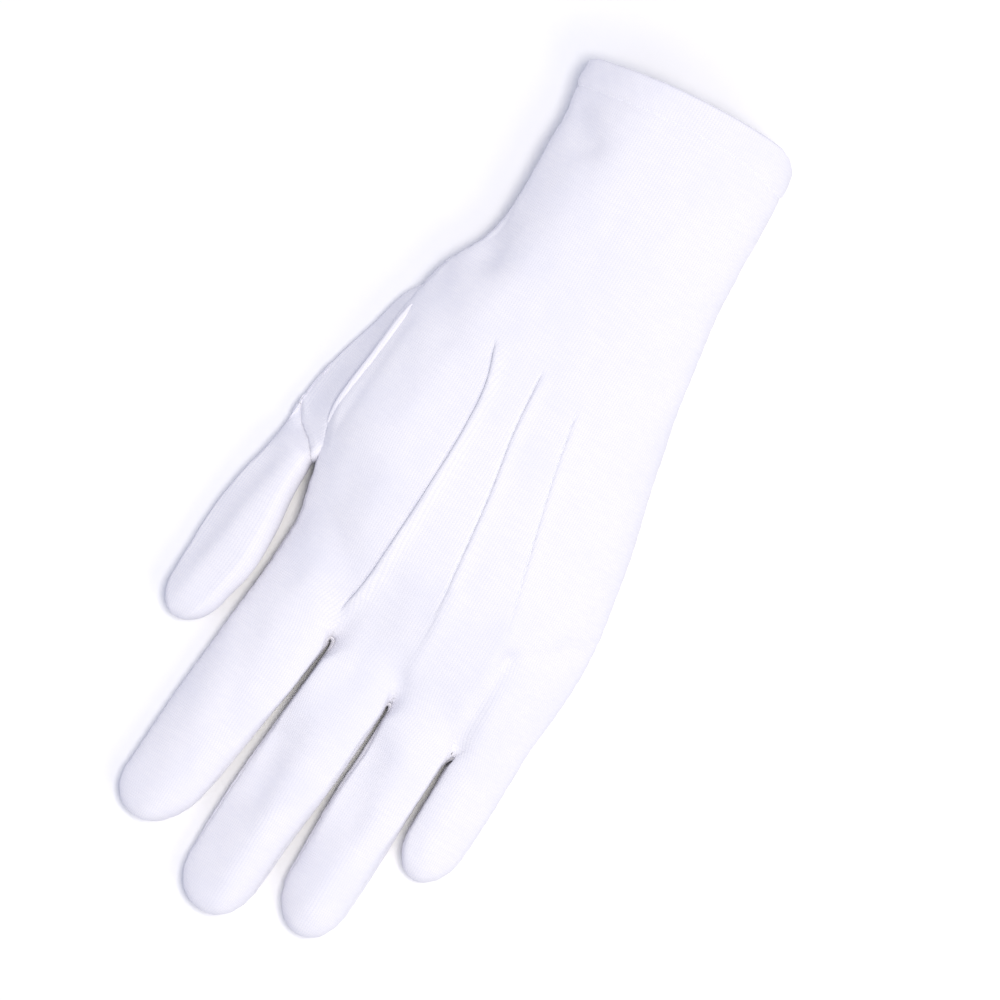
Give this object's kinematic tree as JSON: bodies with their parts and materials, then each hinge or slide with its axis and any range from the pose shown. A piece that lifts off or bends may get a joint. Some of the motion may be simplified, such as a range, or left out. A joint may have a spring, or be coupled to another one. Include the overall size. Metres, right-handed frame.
{
  "type": "costume glove",
  "caption": "White cotton dress glove for the left hand, lying palm down, with raised points on the back and a snapped wrist slit on the palm side.",
  "frame": {"origin": "on the surface that the palm rests on, under the middle of the outline", "axes": "-Y to the fingertips, +Y to the cuff's mouth, +X to the little finger, -X to the thumb, +Z out of the back of the hand"},
  "size_m": [0.1092, 0.2566, 0.0303],
  "materials": {
    "cotton_knit": "fine white cotton knit, matt, slightly napped",
    "snap_enamel": "white, smooth, moulded, satin gloss",
    "snap_metal": "nickel-plated, pressed"
  },
  "bodies": {
    "root": {"back_panel": "cotton_knit", "palm_panel": "cotton_knit", "thumb": "cotton_knit", "thumb_gusset": "cotton_knit", "fourchette_index_middle": "cotton_knit", "fourchette_middle_ring": "cotton_knit", "fourchette_ring_little": "cotton_knit", "vent_binding": "cotton_knit", "snap_cap": "snap_enamel", "snap_socket": "snap_metal", "snap_stud": "snap_metal"}
  },
  "joints": []
}
